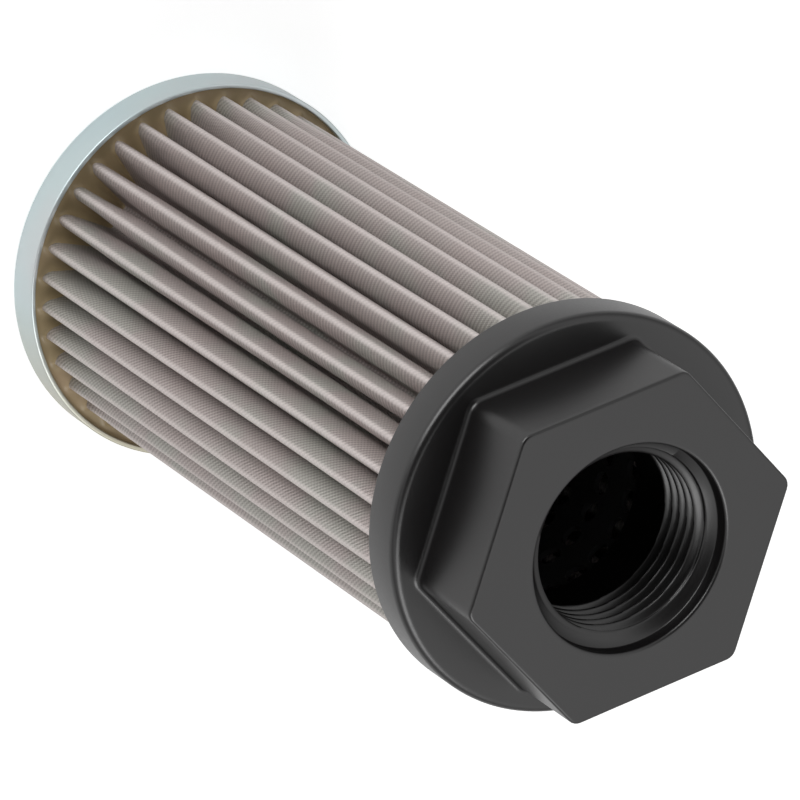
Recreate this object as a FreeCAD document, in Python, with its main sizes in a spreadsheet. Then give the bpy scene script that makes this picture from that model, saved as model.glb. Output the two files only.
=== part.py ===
import FreeCAD
import Part
import Sketcher
import math
import os

# Suction strainer for an oil tank: a nylon hex head with a female port thread, a pleated
# wire mesh round a perforated core tube, and a pressed steel end cap. It stands on its end cap,
# with its axis along +Z and the origin at the middle of the cap's underside.

SIZES = {
    "overall_length": 155.5,
    # end cap, pressed from sheet
    "cap_height": 8.1,
    "cap_sheet": 0.9,
    "cap_bend": 1.8,
    "cap_crest_clearance": 1.6,
    "cap_resin_level": 6.8,
    # pleated mesh and its seam
    "crest_radius": 32.5,
    "mesh_thickness": 0.45,
    "mesh_core_clearance": 0.5,
    "mesh_foot": 2.2,
    "mesh_below_roof": 1.0,
    "crest_bend": 1.2,
    "valley_bend": 0.55,
    "pleats": 36,
    "pleat_phase": 1.7,
    "clip_sheet": 0.4,
    "clip_depth": 4.5,
    "clip_pleat": 22,
    # core tube, rolled from perforated sheet
    "core_radius": 20.6,
    "core_sheet": 1.0,
    "hole_radius": 2.0,
    "hole_rows": 14,
    "hole_columns": 24,
    "hole_above_resin": 4.1,
    "hole_below_spigot": 3.9,
    # moulded head
    "skirt_crest_clearance": 0.9,
    "flange_depth": 8.2,
    "flange_plate": 3.0,
    "flange_round": 1.3,
    "skirt_wall": 1.6,
    "spigot_wall": 1.6,
    "spigot_drop": 2.6,
    "spigot_clearance": 0.25,
    "hex_height": 16.8,
    "hex_corner_to_rim": 4.28,
    "hex_corner_round": 2.2,
    "hex_front_round": 0.5,
    "hex_foot_round": 0.8,
    "head_resin_below_edge": 0.9,
    # port
    "thread_radius": 15.15,
    "thread_depth": 1.45,
    "seat_depth": 3.2,
    "counterbore_step": 1.55,
    "counterbore_depth": 2.5,
    "thread_lead": 1.4,
    "port_web": 0.4,
}

doc = FreeCAD.newDocument("strainer")
sheet = doc.addObject("Spreadsheet::Sheet", "Sizes")
for row, (alias, value) in enumerate(SIZES.items(), start=1):
    sheet.set("A%d" % row, alias)
    sheet.set("B%d" % row, str(value))
    sheet.setAlias("B%d" % row, alias)
doc.recompute()


# Heights and radii that several pieces share, as expressions over the sheet
FLANGE_FRONT = "(Sizes.overall_length - Sizes.hex_height)"
SKIRT_EDGE = "(%s - Sizes.flange_depth)" % FLANGE_FRONT
TROUGH_ROOF = "(%s - Sizes.flange_plate)" % FLANGE_FRONT
MESH_TOP = "(%s - Sizes.mesh_below_roof)" % TROUGH_ROOF
HEAD_RESIN_EDGE = "(%s + Sizes.head_resin_below_edge)" % SKIRT_EDGE
CAP_INSIDE = "(Sizes.crest_radius + Sizes.cap_crest_clearance)"
CAP_RADIUS = "(%s + Sizes.cap_sheet)" % CAP_INSIDE
SKIRT_INSIDE = "(Sizes.crest_radius + Sizes.skirt_crest_clearance)"
FLANGE_RADIUS = "(%s + Sizes.skirt_wall)" % SKIRT_INSIDE
CORE_INSIDE = "(Sizes.core_radius - Sizes.core_sheet)"
SPIGOT_RADIUS = "(%s - Sizes.spigot_clearance)" % CORE_INSIDE
SPIGOT_INSIDE = "(%s - Sizes.spigot_wall)" % SPIGOT_RADIUS
SPIGOT_END = "(%s - Sizes.spigot_drop)" % SKIRT_EDGE
THREAD_END = "(%s + Sizes.port_web)" % FLANGE_FRONT
SEAT_RADIUS = "(Sizes.thread_radius + Sizes.thread_depth)"
COUNTERBORE_RADIUS = "(%s + Sizes.counterbore_step)" % SEAT_RADIUS

# The rounded corners of the hexagon end a named distance inside the flange's rim
HEX_REACH = "(%s - Sizes.hex_corner_to_rim)" % FLANGE_RADIUS
HEX_FLAT = "((%s - Sizes.hex_corner_round) * cos(30) + Sizes.hex_corner_round)" % HEX_REACH

# The core tube's holes run from just above the cap's resin to just below the spigot
FIRST_HOLE = "(Sizes.cap_resin_level + Sizes.hole_above_resin)"
HOLE_ZONE = "(%s - Sizes.hole_below_spigot - %s)" % (SPIGOT_END, FIRST_HOLE)

# One pleat: the middles of its crest bend and valley bend, and the tilt of its flanks
HALF_PITCH = "(180 / Sizes.pleats)"
CREST_MIDDLE = "(Sizes.crest_radius - Sizes.crest_bend)"
MESH_INSIDE = "(Sizes.core_radius + Sizes.mesh_core_clearance)"
VALLEY_MIDDLE = "(%s + Sizes.mesh_thickness + Sizes.valley_bend)" % MESH_INSIDE
VALLEY_ACROSS = "(%s * sin(%s))" % (VALLEY_MIDDLE, HALF_PITCH)
VALLEY_UP = "(%s * cos(%s))" % (VALLEY_MIDDLE, HALF_PITCH)
MIDDLES_APART = "sqrt((%s - %s)^2 + %s^2)" % (CREST_MIDDLE, VALLEY_UP, VALLEY_ACROSS)
FLANK_TILT = "(acos((Sizes.crest_bend + Sizes.valley_bend) / %s) - atan((%s - %s) / %s))" % (
    MIDDLES_APART, CREST_MIDDLE, VALLEY_UP, VALLEY_ACROSS)


def size(alias):
    return float(sheet.get(alias))


def new_body(label):
    body = doc.addObject("PartDesign::Body", label)
    body.Label = label
    return body


def origin_feature(body, role):
    for feature in body.Origin.OriginFeatures:
        if feature.Role == role:
            return feature
    raise ValueError("no origin feature " + role)


def new_sketch(body, name, plane, height=None):
    sketch = body.newObject("Sketcher::SketchObject", name)
    sketch.AttachmentSupport = (origin_feature(body, plane), [""])
    sketch.MapMode = "FlatFace"
    if height is not None:
        sketch.setExpression("AttachmentOffset.Base.z", height)
    return sketch


def bind(sketch, kind, arguments, expression):
    """Adds a dimension whose value is an expression over the sheet."""
    index = sketch.addConstraint(Sketcher.Constraint(kind, *arguments, 1.0))
    sketch.setExpression("Constraints[%d]" % index, expression)


def place_point(sketch, element, which, across, up):
    """Dimensions one point from the origin; a leading minus puts it on the other side."""
    for kind, axis, expression in (("DistanceX", -2, across), ("DistanceY", -1, up)):
        if expression == "0":
            sketch.addConstraint(Sketcher.Constraint("PointOnObject", element, which, axis))
        elif expression.startswith("-"):
            bind(sketch, kind, (element, which, -1, 1), expression[1:])
        else:
            bind(sketch, kind, (-1, 1, element, which), expression)


def polygon(sketch, points):
    """A closed outline of straight sides through points given as expressions."""
    count = len(points)
    corners = []
    for across, up in points:
        corners.append(FreeCAD.Vector(number(sketch, across), number(sketch, up), 0))
    for index in range(count):
        sketch.addGeometry(Part.LineSegment(corners[index], corners[(index + 1) % count]), False)
    for index in range(count):
        following = (index + 1) % count
        sketch.addConstraint(Sketcher.Constraint("Coincident", index, 2, following, 1))
    for index, (across, up) in enumerate(points):
        place_point(sketch, index, 1, across, up)


def number(item, expression):
    """The present value of an expression, for a sketch's first drawing or to find an edge."""
    return float(item.evalExpression(expression))


def revolve(body, name, points):
    """A ring or disc turned about the Z axis from a closed outline of radii and heights."""
    sketch = new_sketch(body, name + "_outline", "XZ_Plane")
    polygon(sketch, points)
    turned = body.newObject("PartDesign::Revolution", name)
    turned.Profile = sketch
    turned.ReferenceAxis = (sketch, ["V_Axis"])
    turned.Angle = 360
    doc.recompute()
    return turned


def edges_where(feature, test):
    names = []
    for index, edge in enumerate(feature.Shape.Edges, start=1):
        if test(edge):
            names.append("Edge%d" % index)
    if not names:
        raise ValueError("no edge found on " + feature.Label)
    return names


def fillet(body, name, feature, test, radius):
    rounding = body.newObject("PartDesign::Fillet", name)
    rounding.Base = (feature, edges_where(feature, test))
    rounding.setExpression("Radius", radius)
    doc.recompute()
    return rounding


def near(first, second):
    return abs(first - second) < 1e-4


def flat_edge(edge, height):
    return near(edge.BoundBox.ZMin, height) and near(edge.BoundBox.ZMax, height)


def circle_at(edge, radius, height):
    is_circle = isinstance(edge.Curve, Part.Circle)
    return is_circle and near(edge.Curve.Radius, radius) and flat_edge(edge, height)


def arc_between(middle, radius, start, end):
    """An arc drawn anticlockwise about a middle, between two angles in degrees."""
    circle = Part.Circle(middle, FreeCAD.Vector(0, 0, 1), radius)
    return Part.ArcOfCircle(circle, math.radians(start), math.radians(end))


def make_end_cap():
    """Pressed steel cup: a disc with an upstanding rim."""
    body = new_body("end_cap")
    cup = revolve(body, "cup", [
        ("0", "0"),
        (CAP_RADIUS, "0"),
        (CAP_RADIUS, "Sizes.cap_height"),
        (CAP_INSIDE, "Sizes.cap_height"),
        (CAP_INSIDE, "Sizes.cap_sheet"),
        ("0", "Sizes.cap_sheet"),
    ])
    outer_radius = number(sheet, CAP_RADIUS)
    inner_radius = number(sheet, CAP_INSIDE)
    outer = fillet(body, "outer_bend", cup,
                   lambda edge: circle_at(edge, outer_radius, 0), "Sizes.cap_bend")
    fillet(body, "inner_bend", outer,
           lambda edge: circle_at(edge, inner_radius, size("cap_sheet")),
           "Sizes.cap_bend - Sizes.cap_sheet")
    return body


def pleat_numbers(sketch):
    """Present values of one pleat's construction, for its first drawing."""
    crest = FreeCAD.Vector(0, number(sketch, CREST_MIDDLE), 0)
    valley = FreeCAD.Vector(number(sketch, VALLEY_ACROSS), number(sketch, VALLEY_UP), 0)
    tilt = number(sketch, FLANK_TILT)
    return crest, valley, tilt


def tangent(sketch, first, first_end, second, second_end):
    sketch.addConstraint(Sketcher.Constraint("Tangent", first, first_end, second, second_end))


def join(sketch, first, first_end, second, second_end):
    sketch.addConstraint(Sketcher.Constraint("Coincident", first, first_end, second, second_end))


def pleat_outline(sketch):
    """One pitch of the folded strip: half a valley, a crest and half a valley.
    Its outer face comes first, then its inner face, one thickness below."""
    crest, valley, tilt = pleat_numbers(sketch)
    half_pitch = number(sketch, HALF_PITCH)
    mirrored = FreeCAD.Vector(-valley.x, valley.y, 0)
    thickness = size("mesh_thickness")
    faces = [
        (size("crest_bend"), size("valley_bend")),
        (size("crest_bend") - thickness, size("valley_bend") + thickness),
    ]
    for crest_bend, valley_bend in faces:
        right_valley = arc_between(valley, valley_bend, 180 + tilt, 270 - half_pitch)
        crest_arc = arc_between(crest, crest_bend, tilt, 180 - tilt)
        left_valley = arc_between(mirrored, valley_bend, 270 + half_pitch, 360 - tilt)
        sketch.addGeometry(left_valley, False)
        sketch.addGeometry(Part.LineSegment(left_valley.EndPoint, crest_arc.EndPoint), False)
        sketch.addGeometry(crest_arc, False)
        sketch.addGeometry(Part.LineSegment(crest_arc.StartPoint, right_valley.StartPoint), False)
        sketch.addGeometry(right_valley, False)
    outer, inner = 0, 5
    for far_end, outer_arc, inner_arc, which in ((10, 4, 9, 2), (11, 0, 5, 1)):
        start = sketch.getPoint(outer_arc, which)
        end = sketch.getPoint(inner_arc, which)
        sketch.addGeometry(Part.LineSegment(start, end), False)
        join(sketch, outer_arc, which, far_end, 1)
        join(sketch, inner_arc, which, far_end, 2)
    bends = (
        (outer, "Sizes.crest_bend", "Sizes.valley_bend"),
        (inner, "Sizes.crest_bend - Sizes.mesh_thickness", "Sizes.valley_bend + Sizes.mesh_thickness"),
    )
    for first, crest_bend, valley_bend in bends:
        tangent(sketch, first, 2, first + 1, 1)
        tangent(sketch, first + 1, 2, first + 2, 2)
        tangent(sketch, first + 2, 1, first + 3, 1)
        tangent(sketch, first + 3, 2, first + 4, 1)
        place_point(sketch, first, 3, "-" + VALLEY_ACROSS, VALLEY_UP)
        place_point(sketch, first + 2, 3, "0", CREST_MIDDLE)
        place_point(sketch, first + 4, 3, VALLEY_ACROSS, VALLEY_UP)
        bind(sketch, "Radius", (first,), valley_bend)
        bind(sketch, "Radius", (first + 2,), crest_bend)
        bind(sketch, "Radius", (first + 4,), valley_bend)
    for far_end, arc in ((10, 4), (11, 0)):
        sketch.addConstraint(Sketcher.Constraint("PointOnObject", -1, 1, far_end))
        sketch.addConstraint(Sketcher.Constraint("PointOnObject", arc, 3, far_end))


def turn_body(body, angle):
    """Turns a body about Z; one pleat is drawn on the Y axis."""
    body.Placement = FreeCAD.Placement(FreeCAD.Vector(0, 0, 0), FreeCAD.Rotation(FreeCAD.Vector(0, 0, 1), 1))
    body.setExpression("Placement.Rotation.Angle", "(%s - 90) * 1 deg" % angle)


def pad(body, name, sketch, length):
    padded = body.newObject("PartDesign::Pad", name)
    padded.Profile = sketch
    padded.setExpression("Length", length)
    doc.recompute()
    return padded


def make_pleated_mesh():
    """One strip of wire mesh folded into pleats all the way round."""
    body = new_body("pleated_mesh")
    sketch = new_sketch(body, "pleat_outline", "XY_Plane", "Sizes.mesh_foot")
    pleat_outline(sketch)
    pleat = pad(body, "pleat", sketch, "%s - Sizes.mesh_foot" % MESH_TOP)
    ring = body.newObject("PartDesign::PolarPattern", "pleat_ring")
    ring.Originals = [pleat]
    ring.Axis = (origin_feature(body, "Z_Axis"), [""])
    ring.Angle = 360
    ring.setExpression("Occurrences", "Sizes.pleats")
    body.Tip = ring
    turn_body(body, "Sizes.pleat_phase")
    return body


def make_seam_clip():
    """Folded strip that grips one crest and closes the pleated strip's two ends."""
    body = new_body("seam_clip")
    sketch = new_sketch(body, "clip_outline", "XY_Plane", "Sizes.mesh_foot")
    crest, valley, tilt = pleat_numbers(sketch)
    outward = FreeCAD.Vector(math.cos(math.radians(tilt)), math.sin(math.radians(tilt)), 0)
    inward = FreeCAD.Vector(outward.y, -outward.x, 0)
    for bend in (size("crest_bend"), size("crest_bend") + size("clip_sheet")):
        arc = arc_between(crest, bend, tilt, 180 - tilt)
        right_end = crest + outward * bend + inward * size("clip_depth")
        left_end = FreeCAD.Vector(-right_end.x, right_end.y, 0)
        sketch.addGeometry(arc, False)
        sketch.addGeometry(Part.LineSegment(arc.StartPoint, right_end), False)
        sketch.addGeometry(Part.LineSegment(arc.EndPoint, left_end), False)
    for line, leg in ((6, 1), (7, 2)):
        start = sketch.getPoint(leg, 2)
        end = sketch.getPoint(leg + 3, 2)
        sketch.addGeometry(Part.LineSegment(start, end), False)
        join(sketch, leg, 2, line, 1)
        join(sketch, leg + 3, 2, line, 2)
    for first, bend in ((0, "Sizes.crest_bend"), (3, "(Sizes.crest_bend + Sizes.clip_sheet)")):
        tangent(sketch, first, 1, first + 1, 1)
        tangent(sketch, first, 2, first + 2, 1)
        place_point(sketch, first, 3, "0", CREST_MIDDLE)
        bind(sketch, "Radius", (first,), bend)
        across = "(%s * cos(%s) + Sizes.clip_depth * sin(%s))" % (bend, FLANK_TILT, FLANK_TILT)
        up = "(%s + %s * sin(%s) - Sizes.clip_depth * cos(%s))" % (
            CREST_MIDDLE, bend, FLANK_TILT, FLANK_TILT)
        place_point(sketch, first + 1, 2, across, up)
        place_point(sketch, first + 2, 2, "-" + across, up)
    pad(body, "clip", sketch, "%s - Sizes.mesh_foot" % MESH_TOP)
    turn_body(body, "(Sizes.pleat_phase + Sizes.clip_pleat * 360 / Sizes.pleats)")
    return body


def make_core_tube():
    """Perforated tube that keeps the pleats from collapsing inward."""
    body = new_body("core_tube")
    tube = revolve(body, "tube", [
        (CORE_INSIDE, "Sizes.mesh_foot"),
        ("Sizes.core_radius", "Sizes.mesh_foot"),
        ("Sizes.core_radius", MESH_TOP),
        (CORE_INSIDE, MESH_TOP),
    ])
    sketch = new_sketch(body, "hole_outline", "XZ_Plane", "%s - Sizes.core_sheet" % CORE_INSIDE)
    middle = FreeCAD.Vector(0, number(sketch, FIRST_HOLE), 0)
    hole_circle = sketch.addGeometry(Part.Circle(middle, FreeCAD.Vector(0, 0, 1), size("hole_radius")), False)
    place_point(sketch, hole_circle, 3, "0", FIRST_HOLE)
    bind(sketch, "Radius", (hole_circle,), "Sizes.hole_radius")
    hole = body.newObject("PartDesign::Pocket", "hole")
    hole.Profile = sketch
    hole.setExpression("Length", "3 * Sizes.core_sheet")
    hole.Reversed = True
    doc.recompute()
    if hole.Shape.Volume >= tube.Shape.Volume:
        raise ValueError("the hole cuts nothing")
    holes = body.newObject("PartDesign::MultiTransform", "holes")
    row = body.newObject("PartDesign::LinearPattern", "row")
    row.Direction = (sketch, ["V_Axis"])
    row.setExpression("Length", HOLE_ZONE)
    row.setExpression("Occurrences", "Sizes.hole_rows")
    ring = body.newObject("PartDesign::PolarPattern", "ring")
    ring.Axis = (origin_feature(body, "Z_Axis"), [""])
    ring.Angle = 360
    ring.setExpression("Occurrences", "Sizes.hole_columns")
    holes.Originals = [hole]
    holes.Transformations = [row, ring]
    body.Tip = holes
    return body


def hexagon(sketch):
    """Six flats, the first facing +X."""
    half_side = "(%s * tan(30))" % HEX_FLAT
    corner = "(%s / cos(30))" % HEX_FLAT
    polygon(sketch, [
        (HEX_FLAT, "-" + half_side),
        (HEX_FLAT, half_side),
        ("0", corner),
        ("-" + HEX_FLAT, half_side),
        ("-" + HEX_FLAT, "-" + half_side),
        ("0", "-" + corner),
    ])


def make_head():
    """Moulded head: hexagon, flange, skirt with its potting trough, spigot and port."""
    body = new_body("head")
    revolve(body, "flange", [
        (SPIGOT_INSIDE, SPIGOT_END),
        (SPIGOT_RADIUS, SPIGOT_END),
        (SPIGOT_RADIUS, TROUGH_ROOF),
        (SKIRT_INSIDE, TROUGH_ROOF),
        (SKIRT_INSIDE, SKIRT_EDGE),
        (FLANGE_RADIUS, SKIRT_EDGE),
        (FLANGE_RADIUS, FLANGE_FRONT),
        (SPIGOT_INSIDE, FLANGE_FRONT),
    ])
    outline = new_sketch(body, "hexagon_outline", "XY_Plane", FLANGE_FRONT)
    hexagon(outline)
    boss = pad(body, "hexagon", outline, "Sizes.hex_height")
    top = size("overall_length")
    foot = top - size("hex_height")
    corners = fillet(body, "hexagon_corners", boss,
                     lambda edge: near(edge.BoundBox.ZMin, foot) and near(edge.BoundBox.ZMax, top),
                     "Sizes.hex_corner_round")
    front = fillet(body, "hexagon_front", corners, lambda edge: flat_edge(edge, top),
                   "Sizes.hex_front_round")
    flange_radius = number(sheet, FLANGE_RADIUS)
    rim = fillet(body, "flange_front", front,
                 lambda edge: circle_at(edge, flange_radius, foot), "Sizes.flange_round")
    foot_round = fillet(body, "hexagon_foot", rim,
                        lambda edge: flat_edge(edge, foot) and is_hexagon_foot(edge),
                        "Sizes.hex_foot_round")
    bore = new_sketch(body, "port_outline", "XZ_Plane")
    length = "Sizes.overall_length"
    counterbore_floor = "(%s - Sizes.counterbore_depth)" % length
    seat = "(%s - Sizes.seat_depth)" % length
    lead_end = "(%s - Sizes.seat_depth - Sizes.thread_lead)" % length
    polygon(bore, [
        ("0", length),
        (COUNTERBORE_RADIUS, length),
        (COUNTERBORE_RADIUS, counterbore_floor),
        (SEAT_RADIUS, seat),
        ("Sizes.thread_radius", lead_end),
        ("Sizes.thread_radius", THREAD_END),
        (SPIGOT_INSIDE, THREAD_END),
        (SPIGOT_INSIDE, FLANGE_FRONT),
        ("0", FLANGE_FRONT),
    ])
    port = body.newObject("PartDesign::Groove", "port")
    port.Profile = bore
    port.ReferenceAxis = (bore, ["V_Axis"])
    port.Angle = 360
    doc.recompute()
    if port.Shape.Volume >= foot_round.Shape.Volume:
        raise ValueError("the port cuts nothing")
    return body


def is_hexagon_foot(edge):
    """Tells whether an edge lies on the hexagon's sides: from their flats out to their corners."""
    middle = edge.valueAt((edge.FirstParameter + edge.LastParameter) / 2)
    reach = math.hypot(middle.x, middle.y)
    return number(sheet, HEX_FLAT) - 0.01 < reach < number(sheet, HEX_REACH) + 0.01


def cut(label, base, tool):
    remainder = doc.addObject("Part::Cut", label)
    remainder.Base = base
    remainder.Tool = tool
    remainder.Label = label
    return remainder


def make_cap_resin(end_cap, potted):
    """Resin bed that fills the end cap round the feet of the mesh and the core tube."""
    bed = doc.addObject("Part::Cylinder", "cap_resin_blank")
    bed.setExpression("Radius", CAP_INSIDE)
    bed.setExpression("Height", "Sizes.cap_resin_level - Sizes.cap_sheet")
    bed.setExpression("Placement.Base.z", "Sizes.cap_sheet")
    remainder = cut("cap_resin_in_cup", bed, end_cap)
    return cut_all("cap_resin", remainder, potted)


def make_head_resin(potted):
    """Resin ring that fills the head's trough round the tops of the mesh and core tube."""
    ring = new_body("head_resin_blank")
    revolve(ring, "trough_fill", [
        (SPIGOT_RADIUS, HEAD_RESIN_EDGE),
        (SKIRT_INSIDE, HEAD_RESIN_EDGE),
        (SKIRT_INSIDE, TROUGH_ROOF),
        (SPIGOT_RADIUS, TROUGH_ROOF),
    ])
    return cut_all("head_resin", ring, potted)


def cut_all(label, base, tools):
    remainder = base
    for tool in tools[:-1]:
        remainder = cut(label + "_round_" + tool.Label, remainder, tool)
    return cut(label, remainder, tools[-1])


end_cap = make_end_cap()
pleated_mesh = make_pleated_mesh()
seam_clip = make_seam_clip()
core_tube = make_core_tube()
head = make_head()
potted_pieces = [core_tube, pleated_mesh, seam_clip]
cap_resin = make_cap_resin(end_cap, potted_pieces)
head_resin = make_head_resin(potted_pieces)
doc.recompute()

for item in doc.Objects:
    if "Invalid" in item.State or "Error" in item.State:
        raise ValueError("%s failed: %s" % (item.Label, item.State))

nodes = [end_cap, cap_resin, pleated_mesh, seam_clip, core_tube, head_resin, head]
for node in nodes:
    if node.Shape.isNull() or not node.Shape.isValid():
        raise ValueError(node.Label + " has no valid shape")
    if len(node.Shape.Solids) != 1:
        raise ValueError("%s has %d solids" % (node.Label, len(node.Shape.Solids)))

os.makedirs("parts", exist_ok=True)
for node in nodes:
    node.Shape.exportStep("parts/%s.step" % node.Label)
    box = node.Shape.BoundBox
    print("%-14s volume %9.1f  z %6.2f to %6.2f" % (node.Label, node.Shape.Volume, box.ZMin, box.ZMax))
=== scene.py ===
import math

import bpy
import numpy as np
from mathutils import Matrix, Vector


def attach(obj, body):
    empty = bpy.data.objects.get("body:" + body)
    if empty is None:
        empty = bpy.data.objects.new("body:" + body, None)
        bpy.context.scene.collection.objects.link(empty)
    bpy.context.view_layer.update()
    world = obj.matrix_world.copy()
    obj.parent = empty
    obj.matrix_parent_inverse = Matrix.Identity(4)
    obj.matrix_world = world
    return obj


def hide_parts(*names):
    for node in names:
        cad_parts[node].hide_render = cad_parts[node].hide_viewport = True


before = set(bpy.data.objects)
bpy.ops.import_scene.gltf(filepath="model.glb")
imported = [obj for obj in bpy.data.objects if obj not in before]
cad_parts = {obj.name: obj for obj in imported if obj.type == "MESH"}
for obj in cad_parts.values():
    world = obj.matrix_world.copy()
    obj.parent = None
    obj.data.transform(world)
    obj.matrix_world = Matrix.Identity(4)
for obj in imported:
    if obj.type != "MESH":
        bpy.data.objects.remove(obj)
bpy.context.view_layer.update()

MM = 0.001
CENTRE_BODY = "root"

# Sizes in millimetres, as in the solids. The cap stands on z = 0 and the axis is Z.

LENGTH = 155.5
CREST_RADIUS = 32.5
CORE_RADIUS = 20.6
CORE_SHEET = 1.0

CAP_CREST_CLEARANCE = 1.6
CAP_SHEET = 0.9
CAP_INSIDE = CREST_RADIUS + CAP_CREST_CLEARANCE
CAP_RADIUS = CAP_INSIDE + CAP_SHEET
CAP_HEIGHT = 8.1
CAP_BEND = 1.8
RESIN_LEVEL = 6.8

SKIRT_CREST_CLEARANCE = 0.9
SKIRT_WALL = 1.6
SKIRT_INSIDE = CREST_RADIUS + SKIRT_CREST_CLEARANCE
FLANGE_RADIUS = SKIRT_INSIDE + SKIRT_WALL
FLANGE_DEPTH = 8.2
FLANGE_PLATE = 3.0
HEX_HEIGHT = 16.8
HEX_FLATS = 53.8
FLANGE_FRONT = LENGTH - HEX_HEIGHT
SKIRT_EDGE = FLANGE_FRONT - FLANGE_DEPTH
TROUGH_ROOF = FLANGE_FRONT - FLANGE_PLATE

SPIGOT_CLEARANCE = 0.25
SPIGOT_WALL = 1.6
SPIGOT_DROP = 2.6
SPIGOT_RADIUS = CORE_RADIUS - CORE_SHEET - SPIGOT_CLEARANCE
SPIGOT_INSIDE = SPIGOT_RADIUS - SPIGOT_WALL
SPIGOT_END = SKIRT_EDGE - SPIGOT_DROP

THREAD_MINOR = 15.15
THREAD_DEPTH = 1.45
THREAD_MAJOR = THREAD_MINOR + THREAD_DEPTH
THREAD_PITCH = 2.309
PORT_WEB = 0.4
THREAD_END_DEPTH = HEX_HEIGHT - PORT_WEB
SEAT_DEPTH = 3.2
COUNTERBORE_STEP = 1.55
COUNTERBORE = THREAD_MAJOR + COUNTERBORE_STEP
COUNTERBORE_DEPTH = 2.5

PLEATS = 36
PLEAT_PHASE = 1.7
CLIP_PLEAT = 22
CREST_BEND = 1.2
VALLEY_BEND = 0.55
MESH_THICKNESS = 0.45
MESH_CORE_CLEARANCE = 0.5
MESH_FOOT = 2.2
MESH_BELOW_ROOF = 1.0
MESH_TOP = TROUGH_ROOF - MESH_BELOW_ROOF


# Meshes

def make_object(name, vertices, faces, sharp_angle=40.0):
    """A smooth piece from vertices in millimetres, with edges sharp above an angle in degrees."""
    mesh = bpy.data.meshes.new(name)
    mesh.from_pydata([tuple(v * MM for v in vertex) for vertex in vertices], [], faces)
    mesh.validate()
    for polygon in mesh.polygons:
        polygon.use_smooth = True
    mesh.set_sharp_from_angle(angle=math.radians(sharp_angle))
    mesh.update()
    piece = bpy.data.objects.new(name, mesh)
    bpy.context.scene.collection.objects.link(piece)
    return piece


def grid_faces(rows, columns, wrap_rows=False):
    """Quads of a grid of vertices, which run row by row and anticlockwise round the axis.
    The quads face outward where the rows rise."""
    faces = []
    for row in range(rows if wrap_rows else rows - 1):
        here = row * columns
        following = (row + 1) % rows * columns
        for column in range(columns):
            beside = (column + 1) % columns
            faces.append((here + column, here + beside, following + beside, following + column))
    return faces


def closed_faces(rows, columns):
    """The quads of a grid, and fans that close its first and last row to the two vertices
    that come after the grid's."""
    faces = grid_faces(rows, columns)
    last_row = (rows - 1) * columns
    start = rows * columns
    end = start + 1
    for column in range(columns):
        beside = (column + 1) % columns
        faces.append((start, beside, column))
        faces.append((end, last_row + column, last_row + beside))
    return faces


def turned(faces, shift=0):
    """Faces that look the other way, with a shift added to each vertex number."""
    return [tuple(corner + shift for corner in face[::-1]) for face in faces]


def ring(radius, height, segments):
    """Points round the axis, anticlockwise from +X."""
    angles = [2 * math.pi * segment / segments for segment in range(segments)]
    return [(radius * math.cos(angle), radius * math.sin(angle), height) for angle in angles]


def arc(middle, radius, start, end, steps):
    """Points of an arc, angles in degrees."""
    points = []
    for step in range(steps + 1):
        angle = math.radians(start + (end - start) * step / steps)
        points.append((middle[0] + radius * math.cos(angle), middle[1] + radius * math.sin(angle)))
    return points


def smooth_step(low, high, value):
    share = min(1.0, max(0.0, (value - low) / (high - low)))
    return share * share * (3 - 2 * share)


# Head

HEAD_SEGMENTS = 360
THREAD_ROWS_PER_TURN = 14
THREAD_RUN_IN = 0.8
THREAD_RUN_OUT = 0.3
THREAD_SHOULDER = 0.05

CORNER_ROUND = 2.2
FRONT_ROUND = 0.5
FOOT_ROUND = 0.9
RIM_ROUND = 1.3
SKIRT_ROUND = 0.3
MOUTH_ROUND = 0.6
SEAT_BREAK_IN = 0.15
SEAT_BREAK_DOWN = 0.07

# Loops this far beyond a rounding keep its shading off the flat beside it
FRONT_LOOP = 0.3
FLANGE_LOOP = 0.25
WALL_LOOP = 0.4

HALF_SIDE = math.pi / 6


def hexagon_reach(angle):
    """Distance from the axis to the rounded hexagon's side, one flat facing +X."""
    turn = (angle + HALF_SIDE) % (2 * HALF_SIDE) - HALF_SIDE
    half = HEX_FLATS / 2
    corner_middle = (half - CORNER_ROUND) / math.cos(HALF_SIDE)
    end_of_flat = math.atan2((half - CORNER_ROUND) * math.tan(HALF_SIDE), half)
    if abs(turn) <= end_of_flat:
        return half / math.cos(turn)
    off = HALF_SIDE - abs(turn)
    return corner_middle * math.cos(off) + math.sqrt(
        CORNER_ROUND ** 2 - (corner_middle * math.sin(off)) ** 2)


def thread_radius(height, angle):
    """Wall of the port thread at a height and angle: rounded ridges on a helix."""
    depth = LENGTH - height
    turns = depth / THREAD_PITCH + angle / (2 * math.pi)
    ridge = 0.5 + 0.5 * math.cos(2 * math.pi * turns)
    run_in = min(1.0, max(0.0, (depth - SEAT_DEPTH) / THREAD_RUN_IN))
    run_out = min(1.0, max(0.0, (THREAD_END_DEPTH - depth) / THREAD_RUN_OUT))
    return THREAD_MAJOR - THREAD_DEPTH * run_in * run_out * ridge


def arc_stations(kind, *arc_terms):
    return [(kind, across, up) for across, up in arc(*arc_terms)]


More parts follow.
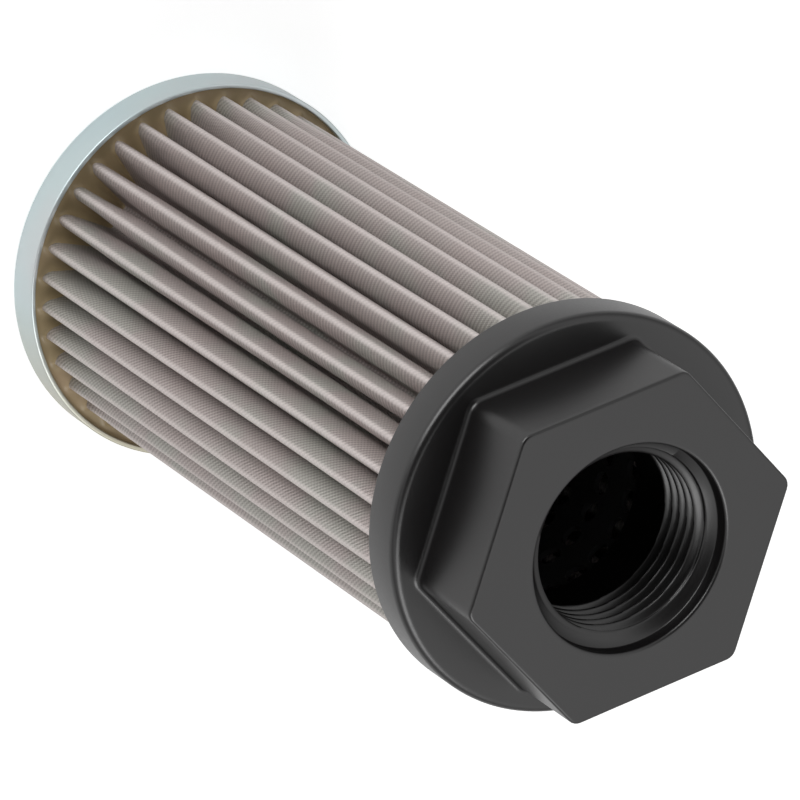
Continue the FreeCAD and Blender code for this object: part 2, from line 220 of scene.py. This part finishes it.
def head_stations():
    """The head's section as a closed loop from the front face round the outside to the port.
    Each station is a kind, a radius and a height. For the hexagon the radius is an offset
    from its side, and for the thread it is worked out from the helix."""
    stations = [("hex", -FRONT_ROUND - FRONT_LOOP, LENGTH)]
    stations += arc_stations(
        "hex", (-FRONT_ROUND, LENGTH - FRONT_ROUND), FRONT_ROUND, 90, 0, 4)
    stations += [
        ("hex", 0.0, LENGTH - FRONT_ROUND - WALL_LOOP),
        ("hex", 0.0, FLANGE_FRONT + FOOT_ROUND + WALL_LOOP)]
    stations += arc_stations(
        "hex", (FOOT_ROUND, FLANGE_FRONT + FOOT_ROUND), FOOT_ROUND, 180, 270, 5)
    stations += [
        ("hex", FOOT_ROUND + FLANGE_LOOP, FLANGE_FRONT),
        ("round", FLANGE_RADIUS - RIM_ROUND - FLANGE_LOOP, FLANGE_FRONT)]
    stations += arc_stations(
        "round", (FLANGE_RADIUS - RIM_ROUND, FLANGE_FRONT - RIM_ROUND), RIM_ROUND, 90, 0, 7)
    stations.append(("round", FLANGE_RADIUS, FLANGE_FRONT - RIM_ROUND - WALL_LOOP))
    stations += arc_stations(
        "round", (FLANGE_RADIUS - SKIRT_ROUND, SKIRT_EDGE + SKIRT_ROUND), SKIRT_ROUND, 0, -90, 3)
    stations += [
        ("round", SKIRT_INSIDE, SKIRT_EDGE),
        ("round", SKIRT_INSIDE, TROUGH_ROOF),
        ("round", SPIGOT_RADIUS, TROUGH_ROOF),
        ("round", SPIGOT_RADIUS, SPIGOT_END),
        ("round", SPIGOT_INSIDE, SPIGOT_END),
        ("round", SPIGOT_INSIDE, LENGTH - THREAD_END_DEPTH - THREAD_SHOULDER)]
    steps = int((THREAD_END_DEPTH - SEAT_DEPTH) / THREAD_PITCH * THREAD_ROWS_PER_TURN)
    for step in range(steps + 1):
        depth = THREAD_END_DEPTH + (SEAT_DEPTH - THREAD_END_DEPTH) * step / steps
        stations.append(("thread", 0.0, LENGTH - depth))
    stations += [
        ("round", COUNTERBORE - SEAT_BREAK_IN, LENGTH - COUNTERBORE_DEPTH - SEAT_BREAK_DOWN),
        ("round", COUNTERBORE, LENGTH - COUNTERBORE_DEPTH + SEAT_BREAK_IN)]
    stations += arc_stations(
        "round", (COUNTERBORE + MOUTH_ROUND, LENGTH - MOUTH_ROUND), MOUTH_ROUND, 180, 90, 5)
    stations.append(("round", COUNTERBORE + MOUTH_ROUND + FRONT_LOOP, LENGTH))
    return stations


def build_head():
    vertices = []
    stations = head_stations()
    for kind, across, up in stations:
        for segment in range(HEAD_SEGMENTS):
            angle = 2 * math.pi * segment / HEAD_SEGMENTS
            if kind == "hex":
                reach = hexagon_reach(angle) + across
            elif kind == "thread":
                reach = thread_radius(up, angle)
            else:
                reach = across
            vertices.append((reach * math.cos(angle), reach * math.sin(angle), up))
    # The stations run down the outside, so the faces are turned to look outward
    faces = turned(grid_faces(len(stations), HEAD_SEGMENTS, wrap_rows=True))
    return make_object("head_moulding", vertices, faces)


# End cap

CAP_SEGMENTS = 256
CAP_MIDDLE = 1.0
CAP_FLOOR_LOOP = 2.0
CAP_WALL_LOOP = 0.5
LIP_ROUND = 0.3
LIP_INNER_ROUND = 0.2


def build_end_cap():
    """The pressed cup, turned from its section: underside, wall, lip and inside."""
    inner_bend = CAP_BEND - CAP_SHEET
    section = [(CAP_MIDDLE, 0.0), (CAP_RADIUS - CAP_BEND - CAP_FLOOR_LOOP, 0.0)]
    section += arc((CAP_RADIUS - CAP_BEND, CAP_BEND), CAP_BEND, -90, 0, 8)
    section.append((CAP_RADIUS, CAP_BEND + CAP_WALL_LOOP))
    section += arc((CAP_RADIUS - LIP_ROUND, CAP_HEIGHT - LIP_ROUND), LIP_ROUND, 0, 90, 4)
    section += arc((CAP_INSIDE + LIP_INNER_ROUND, CAP_HEIGHT - LIP_INNER_ROUND),
                   LIP_INNER_ROUND, 90, 180, 3)
    section.append((CAP_INSIDE, CAP_BEND + CAP_WALL_LOOP))
    section += arc((CAP_INSIDE - inner_bend, CAP_SHEET + inner_bend), inner_bend, 0, -90, 4)
    section.append((CAP_MIDDLE, CAP_SHEET))
    vertices = []
    for radius, height in section:
        vertices += ring(radius, height, CAP_SEGMENTS)
    vertices += [(0.0, 0.0, 0.0), (0.0, 0.0, CAP_SHEET)]
    return make_object("end_cup", vertices, closed_faces(len(section), CAP_SEGMENTS))


# Pleated mesh

# Rows of vertices from the foot to the top, closer together at both ends
MESH_ROWS = 27
BEND_STEPS = 5

# Depths below the crest at which a flank has a vertex
FLANK_STEPS = (0.0, 0.03, 0.12, 0.28, 0.5, 0.8, 1.2, 1.75, 2.4, 3.1, 3.9, 4.8, 5.8, 6.9, 8.2)

# Depths below the crest between which a bellied flank goes back to the straight one
BELLY_FROM = 3.2
BELLY_TO = 7.8

# How far above the resin a pleat opens into its belly, and how it narrows again at the skirt
FOOT_GATHER = 20.0
TOP_GATHER_BELOW = 10.0
TOP_GATHER_ABOVE = 4.0
TOP_GATHER = 0.7

# Small irregular side shifts and drops of the crests, as folding leaves them
FOLDING_SEED = 12
SHIFT_SPREAD = 0.22
SHIFT_LIMIT = 0.4
DROP_SPREAD = 0.1
DROP_LIMIT = 0.2
SWAY_LENGTH = 45.0
SWAY_PHASE = 0.2
SWAY_POWER = 1.5


def pleat_geometry():
    """A pleat on the Y axis: the place of its valley bend's middle, across and up, and the
    tilt of its flank in degrees."""
    half_pitch = math.pi / PLEATS
    crest = CREST_RADIUS - CREST_BEND
    valley = CORE_RADIUS + MESH_CORE_CLEARANCE + MESH_THICKNESS + VALLEY_BEND
    across = valley * math.sin(half_pitch)
    up = valley * math.cos(half_pitch)
    apart = math.hypot(crest - up, across)
    tilt = math.acos((CREST_BEND + VALLEY_BEND) / apart) - math.atan2(crest - up, across)
    return across, up, math.degrees(tilt)


def pleat_half(offset, belly=0.0):
    """Points from the crest's top down one flank to the middle of the valley, moved
    inward from the outer face by an offset. Each is across and up in the pleat's frame.
    The crest is a tight fold, and a belly of 1 rounds the flanks out below it."""
    across, up, tilt = pleat_geometry()
    bend = (180 + tilt, 270 - 180.0 / PLEATS, BEND_STEPS)
    foot = arc((across, up), VALLEY_BEND, *bend)[0]
    deepest = CREST_RADIUS - foot[1]
    outer = []
    for below in FLANK_STEPS:
        share = max(0.0, (below - CREST_BEND) / (deepest - CREST_BEND))
        straight = CREST_BEND + (foot[0] - CREST_BEND) * share
        fold = math.sqrt(below)
        flat = min(fold, straight)
        bellied = fold + (straight - fold) * smooth_step(BELLY_FROM, BELLY_TO, below)
        width = flat + (max(bellied, flat) - flat) * belly
        outer.append((width, CREST_RADIUS - below))
    outer.append(foot)
    points = [(0.0, CREST_RADIUS - offset)]
    for before, here, after in zip(outer[:-2], outer[1:-1], outer[2:]):
        along = (after[0] - before[0], after[1] - before[1])
        length = math.hypot(*along)
        points.append((here[0] + offset * along[1] / length, here[1] - offset * along[0] / length))
    return points + arc((across, up), VALLEY_BEND + offset, *bend)


def pleat_outline(offset, height):
    """One pleat at a height, from the valley on its clockwise side to the next one."""
    open_foot = smooth_step(RESIN_LEVEL, RESIN_LEVEL + FOOT_GATHER, height)
    at_top = smooth_step(SKIRT_EDGE - TOP_GATHER_BELOW, SKIRT_EDGE + TOP_GATHER_ABOVE, height)
    half = pleat_half(offset, open_foot * (1 - TOP_GATHER * at_top))
    return half[::-1][1:] + [(-across, up) for across, up in half[1:]]


def crest_shifts():
    """For each pleat its crest's side shift, its drop as a negative lift, and the phase of
    its sway. The pleats beside the seam clip stay straight."""
    generator = np.random.default_rng(FOLDING_SEED)
    shift = generator.normal(0.0, SHIFT_SPREAD, PLEATS)
    lift = generator.normal(0.0, DROP_SPREAD, PLEATS)
    phase = generator.uniform(0, 2 * math.pi, PLEATS)
    for pleat in (CLIP_PLEAT - 1, CLIP_PLEAT, CLIP_PLEAT + 1):
        shift[pleat % PLEATS] = 0.0
        lift[pleat % PLEATS] = 0.0
    return list(zip(np.clip(shift, -SHIFT_LIMIT, SHIFT_LIMIT), np.clip(lift, -DROP_LIMIT, 0.0), phase))


def cloth_row(offset, height, shifts):
    """Points of the folded strip at a height, anticlockwise round the axis."""
    outline = pleat_outline(offset, height)
    valley = pleat_half(0.0)[-1][1]
    bow = math.sin(math.pi * (height - MESH_FOOT) / (MESH_TOP - MESH_FOOT))
    points = []
    for pleat, (shift, lift, phase) in enumerate(shifts):
        turn = math.radians(PLEAT_PHASE + 360.0 * pleat / PLEATS - 90.0)
        sway = shift * bow * math.cos(phase * SWAY_PHASE + height / SWAY_LENGTH)
        for across, up in outline:
            outward = max(0.0, (up - valley) / (CREST_RADIUS - valley))
            x = across + sway * outward ** SWAY_POWER
            y = up + lift * outward * bow
            points.append((x * math.cos(turn) - y * math.sin(turn),
                           x * math.sin(turn) + y * math.cos(turn), height))
    return points


def distances_along(points):
    """Length of the path up to each point."""
    distances = [0.0]
    for before, here in zip(points[:-1], points[1:]):
        distances.append(distances[-1] + math.dist(before, here))
    return distances


def build_pleated_mesh():
    """The folded strip with both its faces. Its map "cloth" holds, in millimetres, the length
    along the folds and the height, so that the weave follows the strip."""
    shifts = crest_shifts()
    vertices = []
    along = []
    for offset in (0.0, MESH_THICKNESS):
        for row in range(MESH_ROWS):
            share = 0.5 - 0.5 * math.cos(math.pi * row / (MESH_ROWS - 1))
            points = cloth_row(offset, MESH_FOOT + (MESH_TOP - MESH_FOOT) * share, shifts)
            vertices += points
            along += distances_along(points)
    side = len(vertices) // 2
    columns = side // MESH_ROWS
    faces = grid_faces(MESH_ROWS, columns)
    faces += turned(faces, side)
    last_row = side - columns
    for column in range(columns):
        beside = (column + 1) % columns
        faces.append((column, side + column, side + beside, beside))
        faces.append((last_row + beside, side + last_row + beside,
                      side + last_row + column, last_row + column))
    piece = make_object("wire_cloth", vertices, faces, sharp_angle=60.0)
    layer = piece.data.uv_layers.new(name="cloth")
    for loop in piece.data.loops:
        vertex = loop.vertex_index
        layer.data[loop.index].uv = (along[vertex], vertices[vertex][2])
    return piece


# Potting resin

RESIN_SEGMENTS = 1080
RESIN_GAP = 0.02
RESIN_CHAMFER = 0.2

# The surface lies this far below the solid's and has a broad and a fine wave
RESIN_DIP = 0.1
BROAD_WAVE = 0.12
FINE_WAVE = 0.08

# Rings of the surface: (inner radius, outer radius, count), close together at the pleats
INNER_RINGS = (2.0, 20.0, 8)
OUTER_RINGS = (20.8, CAP_INSIDE - RESIN_GAP, 46)

# The resin climbs this high at the cloth and the wall, and falls off over this distance
CLOTH_CLIMB = 0.75
CLOTH_FALL = 0.45
WALL_CLIMB = 0.35
WALL_FALL = 0.5


def distance_to_cloth(x, y):
    """Plan distance from points to the middle of the folded strip."""
    pitch = 2 * math.pi / PLEATS
    angle = np.arctan2(y, x) - math.radians(PLEAT_PHASE)
    folded = np.abs((angle + pitch / 2) % pitch - pitch / 2)
    radius = np.hypot(x, y)
    across = radius * np.sin(folded)
    up = radius * np.cos(folded)
    half = np.array(pleat_half(MESH_THICKNESS / 2))
    nearest = np.full(x.shape, np.inf)
    for start, end in zip(half[:-1], half[1:]):
        run = end - start
        share = ((across - start[0]) * run[0] + (up - start[1]) * run[1]) / (run @ run)
        share = np.clip(share, 0, 1)
        gap = np.hypot(across - start[0] - share * run[0], up - start[1] - share * run[1])
        nearest = np.minimum(nearest, gap)
    return nearest


def build_cap_resin():
    """The bed in the cap, as rows from its underside up its edge and in over its surface."""
    edge = CAP_INSIDE - RESIN_GAP
    radii = np.concatenate([np.linspace(*INNER_RINGS), np.linspace(*OUTER_RINGS)])[::-1]
    angles = 2 * math.pi * np.arange(RESIN_SEGMENTS) / RESIN_SEGMENTS
    radius, angle = np.meshgrid(radii, angles, indexing="ij")
    x = radius * np.cos(angle)
    y = radius * np.sin(angle)
    gap = np.maximum(distance_to_cloth(x, y) - MESH_THICKNESS / 2, 0.0)
    at_cloth = CLOTH_CLIMB * np.exp(-gap / CLOTH_FALL)
    at_wall = WALL_CLIMB * np.exp(-(edge - radius) / WALL_FALL)
    waves = BROAD_WAVE * np.sin(3 * angle + 1.0) + FINE_WAVE * np.sin(11 * angle + radius / 2.0)
    z = RESIN_LEVEL - RESIN_DIP + at_cloth + at_wall + waves
    vertices = ring(CAP_RADIUS - CAP_BEND, CAP_SHEET + RESIN_GAP, RESIN_SEGMENTS)
    vertices += ring(edge, CAP_BEND + RESIN_CHAMFER, RESIN_SEGMENTS)
    vertices += zip(x.ravel().tolist(), y.ravel().tolist(), z.ravel().tolist())
    vertices += [(0.0, 0.0, CAP_SHEET + RESIN_GAP), (0.0, 0.0, RESIN_LEVEL - RESIN_DIP)]
    faces = closed_faces(2 + len(radii), RESIN_SEGMENTS)
    return make_object("resin_bed", vertices, faces, sharp_angle=60.0)


# Node trees

class Nodes:
    """Short calls that build a node tree. A value may be a number or another node's socket."""

    def __init__(self, tree):
        self.tree = tree

    def set(self, node, socket, value):
        if isinstance(value, bpy.types.NodeSocket):
            self.tree.links.new(value, node.inputs[socket])
        else:
            node.inputs[socket].default_value = value

    def add(self, kind, **inputs):
        node = self.tree.nodes.new(kind)
        for socket, value in inputs.items():
            self.set(node, socket.replace("_", " "), value)
        return node

    def math(self, operation, first, second=0.0, third=0.0):
        node = self.add("ShaderNodeMath")
        node.operation = operation
        for index, value in enumerate((first, second, third)):
            self.set(node, index, value)
        return node.outputs[0]

    def vector_math(self, operation, *vectors):
        node = self.add("ShaderNodeVectorMath")
        node.operation = operation
        for index, value in enumerate(vectors):
            self.set(node, index, value)
        return node.outputs

    def split(self, vector):
        return self.add("ShaderNodeSeparateXYZ", Vector=vector).outputs

    def map_range(self, value, source, target=(0.0, 1.0), interpolation="LINEAR"):
        node = self.add("ShaderNodeMapRange", Value=value, From_Min=source[0], From_Max=source[1],
                        To_Min=target[0], To_Max=target[1])
        node.interpolation_type = interpolation
        return node.outputs["Result"]


class Material(Nodes):
    """The calls that build one material round its Principled shader."""

    def __init__(self, name):
        self.material = bpy.data.materials.new(name)
        self.material.use_nodes = True
        super().__init__(self.material.node_tree)

    def coordinates(self):
        return self.add("ShaderNodeTexCoord").outputs["Object"]

    def from_axis(self, place):
        """Distance from the filter's axis."""
        flat = self.vector_math("MULTIPLY", place, (1, 1, 0))["Vector"]
        return self.vector_math("LENGTH", flat)["Value"]

    def noise(self, place, scale, detail):
        return self.add("ShaderNodeTexNoise", Vector=place, Scale=scale, Detail=detail).outputs["Fac"]

    def ramp(self, value, stops):
        node = self.add("ShaderNodeValToRGB", Fac=value)
        elements = node.color_ramp.elements
        while len(elements) < len(stops):
            elements.new(0.5)
        for element, (position, colour) in zip(elements, stops):
            element.position = position
            element.color = (*colour, 1.0)
        return node.outputs["Color"]

    def blend(self, share, first, second, how="MIX"):
        """Two colours mixed, through the colour sockets of the Mix node."""
        node = self.add("ShaderNodeMix")
        node.data_type = "RGBA"
        node.blend_type = how
        for index, value in ((0, share), (6, first), (7, second)):
            self.set(node, index, value)
        return node.outputs[2]

    def bump(self, height, distance, strength):
        node = self.add("ShaderNodeBump", Height=height, Distance=distance, Strength=strength)
        return node.outputs["Normal"]

    def shade(self, **inputs):
        """The material, with the shader's inputs set."""
        shader = self.tree.nodes["Principled BSDF"]
        for socket, value in inputs.items():
            self.set(shader, socket.replace("_", " "), value)
        return self.material


# Materials

# The cap's zinc is tinted yellow between these distances, towards the side low in the photo
YELLOW_SIDE = (-0.87, 0.5, 0.0)
YELLOW_FROM = 12.0 * MM
YELLOW_TO = 34.0 * MM

# Inside this radius and above this height the zinc is the core tube's, painted near black as shade
# deep inside the bore
CORE_REACH = 22.0 * MM
CORE_FOOT = 7.5 * MM

# Wires of the cloth, in millimetres along the strip
TWILL_PITCH = 1.03
TWILL_SLANT = 0.6
WIRE_PITCH = 0.45

# The crests' last half millimetre is painted lighter, a painted highlight along the crest lines
CREST_HIGHLIGHT_FROM = (CREST_RADIUS - 0.5) * MM
CREST_HIGHLIGHT_TO = (CREST_RADIUS - 0.1) * MM


def black_nylon():
    n = Material("black_nylon")
    place = n.coordinates()
    cloud = n.noise(place, scale=60.0, detail=4.0)
    grain = n.noise(place, scale=2200.0, detail=2.0)
    colour = n.ramp(cloud, [(0.3, (0.0045, 0.0040, 0.0042)), (0.7, (0.0065, 0.0058, 0.0060))])
    roughness = n.math("MULTIPLY_ADD", grain, 0.08, 0.28)
    normal = n.bump(grain, distance=0.02 * MM, strength=0.2)
    return n.shade(Base_Color=colour, Roughness=roughness, Normal=normal, Specular_IOR_Level=0.8)


def zinc_plate():
    """Bluish zinc, tinted yellow towards one side of the cap, and painted near black on the core tube
    as shade deep inside the bore.
    """
    n = Material("zinc_plate")
    place = n.coordinates()
    cloud = n.noise(place, scale=28.0, detail=3.0)
    fine = n.noise(place, scale=700.0, detail=2.0)
    bare = n.ramp(cloud, [
        (0.3, (0.60, 0.72, 0.75)), (0.5, (0.64, 0.74, 0.75)), (0.7, (0.68, 0.71, 0.72))])
    leftward = n.vector_math("DOT_PRODUCT", place, YELLOW_SIDE)["Value"]
    yellow_share = n.map_range(leftward, (YELLOW_FROM, YELLOW_TO))
    plated = n.blend(yellow_share, bare, (0.57, 0.54, 0.43, 1.0))
    # Painted shade: the core tube's inside goes near black, as if in the bore's deep shadow.
    painted_core_shade = n.math("MULTIPLY", n.math("LESS_THAN", n.from_axis(place), CORE_REACH),
                     n.math("GREATER_THAN", n.split(place)["Z"], CORE_FOOT))
    colour = n.blend(painted_core_shade, plated, (0.10, 0.10, 0.10, 1.0))
    roughness = n.math("MULTIPLY_ADD", fine, 0.12, 0.26)
    normal = n.bump(fine, distance=0.02 * MM, strength=0.2)
    return n.shade(Base_Color=colour, Metallic=0.6, Roughness=roughness, Normal=normal)


def potting_resin():
    n = Material("potting_resin")
    place = n.coordinates()
    cloud = n.noise(place, scale=90.0, detail=4.0)
    fine = n.noise(place, scale=500.0, detail=3.0)
    colour = n.ramp(cloud, [
        (0.3, (0.32, 0.245, 0.135)), (0.55, (0.41, 0.315, 0.18)), (0.75, (0.47, 0.35, 0.22))])
    normal = n.bump(fine, distance=0.2 * MM, strength=0.3)
    return n.shade(Base_Color=colour, Roughness=0.34, Normal=normal)


def wire_cloth():
    """Woven stainless wire: slanting ridges of a twill with fine wires between them, darker between
    the ridges as painted shade, and a painted highlight on the crests.
    """
    n = Material("wire_cloth")
    strip = n.add("ShaderNodeUVMap")
    strip.uv_map = "cloth"
    along, height, _ = n.split(strip.outputs["UV"])
    slant = n.math("MULTIPLY_ADD", along, TWILL_SLANT, height)
    ridge = n.math("SINE", n.math("MULTIPLY", slant, 2 * math.pi / TWILL_PITCH))
    wire = n.math("SINE", n.math("MULTIPLY", along, 2 * math.pi / WIRE_PITCH))
    crossed = n.math("MULTIPLY", wire, ridge)
    weave = n.math("ADD", n.math("MULTIPLY_ADD", ridge, 0.3, 0.5), n.math("MULTIPLY", crossed, 0.2))
    place = n.coordinates()
    cloud = n.noise(place, scale=45.0, detail=3.0)
    tint = n.ramp(cloud, [
        (0.35, (0.455, 0.395, 0.38)), (0.52, (0.445, 0.395, 0.38)), (0.62, (0.43, 0.415, 0.385))])
    # The weave also darkens the colour between its ridges: partly the wires' own pattern, partly
    # painted shade in the grooves.
    weave_with_painted_shade = n.blend(1.0, tint, n.math("MULTIPLY_ADD", weave, 0.55, 0.72), how="MULTIPLY")
    # Painted highlight: the colour lightens towards the tops of the crests.
    crest_highlight = n.map_range(n.from_axis(place), (CREST_HIGHLIGHT_FROM, CREST_HIGHLIGHT_TO), (0.0, 0.55))
    colour = n.blend(crest_highlight, weave_with_painted_shade, (0.78, 0.71, 0.69, 1.0))
    normal = n.bump(weave, distance=0.12 * MM, strength=0.9)
    return n.shade(Base_Color=colour, Metallic=0.5, Roughness=0.5, Normal=normal)


def steel_strip():
    n = Material("steel_strip")
    brushed = n.noise(n.coordinates(), scale=900.0, detail=2.0)
    colour = n.ramp(brushed, [(0.3, (0.42, 0.38, 0.36)), (0.7, (0.50, 0.45, 0.43))])
    normal = n.bump(brushed, distance=0.03 * MM, strength=0.3)
    return n.shade(Base_Color=colour, Metallic=0.7, Roughness=0.4, Normal=normal)


# Camera, in metres, solved from the rims, the hexagon and the bore in the photo

PHOTO_WIDTH = 800
FOCAL_PIXELS = 7351.8
SENSOR_WIDTH = 36.0
CAMERA_PLACE = Vector((0.56237, 0.47814, 1.09843))
CAMERA_RIGHT = Vector((-0.16095, -0.85648, 0.49044))
CAMERA_UP = Vector((0.87994, -0.34958, -0.32173))
CAMERA_BACK = Vector((0.44700, 0.37978, 0.80991))


def add_camera():
    data = bpy.data.cameras.new("photo_camera")
    data.sensor_width = SENSOR_WIDTH
    data.lens = SENSOR_WIDTH * FOCAL_PIXELS / PHOTO_WIDTH
    data.clip_start = 0.01
    data.clip_end = 20.0
    camera = bpy.data.objects.new("photo_camera", data)
    turn = Matrix((CAMERA_RIGHT, CAMERA_UP, CAMERA_BACK)).transposed()
    camera.matrix_world = Matrix.Translation(CAMERA_PLACE) @ turn.to_4x4()
    bpy.context.scene.collection.objects.link(camera)
    bpy.context.scene.camera = camera


# Floor, world and lamps, in metres

FLOOR_REACH = 3.0
FLOOR_LIFT = 0.55
FLOOR_MIRRORED = 0.15

# Strength of the world as a light on surfaces. Seen directly or mirrored it is 1.
AMBIENT = 0.45

# In reflections the world is also dark round one direction and dimmer towards the horizon
DARK_SIDE = (0.322, 0.263, 0.909)
DARK_REACH = math.radians(44.0)
DARK_CORE = math.radians(30.0)
DARK_STRENGTH = 0.03
HORIZON = (0.2, 0.75)
HORIZON_STRENGTH = 0.4

MIDDLE = Vector((0, 0, LENGTH / 2 * MM))


def floor_white():
    """White to the camera and in reflections, with the object's soft shadow kept."""
    n = Material("floor_white")
    path = n.add("ShaderNodeLightPath").outputs
    mirrored = n.math("MULTIPLY", path["Is Glossy Ray"], FLOOR_MIRRORED)
    lift = n.math("MULTIPLY_ADD", path["Is Camera Ray"], FLOOR_LIFT, mirrored)
    return n.shade(Base_Color=(0.85, 0.85, 0.85, 1), Roughness=0.9,
                   Emission_Color=(1, 1, 1, 1), Emission_Strength=lift)


def add_floor():
    mesh = bpy.data.meshes.new("floor")
    corners = [(x * FLOOR_REACH, y * FLOOR_REACH, 0) for x, y in ((-1, -1), (1, -1), (1, 1), (-1, 1))]
    mesh.from_pydata(corners, [], [(0, 1, 2, 3)])
    mesh.materials.append(floor_white())
    floor = bpy.data.objects.new("floor", mesh)
    bpy.context.scene.collection.objects.link(floor)


def add_world():
    world = bpy.data.worlds.new("studio")
    bpy.context.scene.world = world
    world.use_nodes = True
    n = Nodes(world.node_tree)
    direction = n.add("ShaderNodeTexCoord").outputs["Generated"]
    towards = n.vector_math("DOT_PRODUCT", direction, DARK_SIDE)["Value"]
    dark = n.map_range(towards, (math.cos(DARK_REACH), math.cos(DARK_CORE)),
                       (1.0, DARK_STRENGTH), interpolation="SMOOTHSTEP")
    overhead = n.map_range(n.split(direction)["Z"], HORIZON, (HORIZON_STRENGTH, 1.0))
    path = n.add("ShaderNodeLightPath").outputs
    room = n.add("ShaderNodeMix", Factor=path["Is Glossy Ray"], A=1.0,
                 B=n.math("MULTIPLY", dark, overhead)).outputs["Result"]
    seen = n.math("MAXIMUM", n.math("MAXIMUM", path["Is Camera Ray"], path["Is Glossy Ray"]),
                  path["Is Transmission Ray"])
    strength = n.math("MULTIPLY_ADD", seen, 1.0 - AMBIENT, AMBIENT)
    background = world.node_tree.nodes["Background"]
    n.set(background, "Color", (1, 1, 1, 1))
    n.set(background, "Strength", n.math("MULTIPLY", strength, room))


def add_lamp(name, right, up, back, size, power):
    """A soft square lamp, placed from the filter's middle along the photo's right, up and
    towards the camera, and aimed at that middle."""
    data = bpy.data.lights.new(name, "AREA")
    data.shape = "SQUARE"
    data.size = size
    data.energy = power
    lamp = bpy.data.objects.new(name, data)
    lamp.location = MIDDLE + CAMERA_RIGHT * right + CAMERA_UP * up + CAMERA_BACK * back
    lamp.rotation_mode = "QUATERNION"
    lamp.rotation_quaternion = (MIDDLE - lamp.location).to_track_quat("-Z", "Y")
    bpy.context.scene.collection.objects.link(lamp)


# The object

materials = {
    "black_nylon": black_nylon(),
    "zinc_plate": zinc_plate(),
    "potting_resin": potting_resin(),
    "wire_mesh": wire_cloth(),
    "seam_strip": steel_strip(),
}


def dress(piece, look):
    piece.data.materials.clear()
    piece.data.materials.append(materials[look])


def add_piece(piece, slot, node):
    dress(piece, slot)
    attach(piece, CENTRE_BODY)
    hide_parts(node)


add_piece(build_head(), "black_nylon", "head")
add_piece(build_end_cap(), "zinc_plate", "end_cap")
add_piece(build_pleated_mesh(), "wire_mesh", "pleated_mesh")
add_piece(build_cap_resin(), "potting_resin", "cap_resin")
dress(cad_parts["core_tube"], "zinc_plate")
dress(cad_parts["head_resin"], "potting_resin")
dress(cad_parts["seam_clip"], "seam_strip")

add_camera()
add_floor()
add_world()
add_lamp("upper_left", right=-0.75, up=0.9, back=0.9, size=1.2, power=18.0)
add_lamp("below", right=0.4, up=-1.2, back=0.75, size=0.8, power=6.0)
bpy.context.scene.view_settings.view_transform = "Standard"
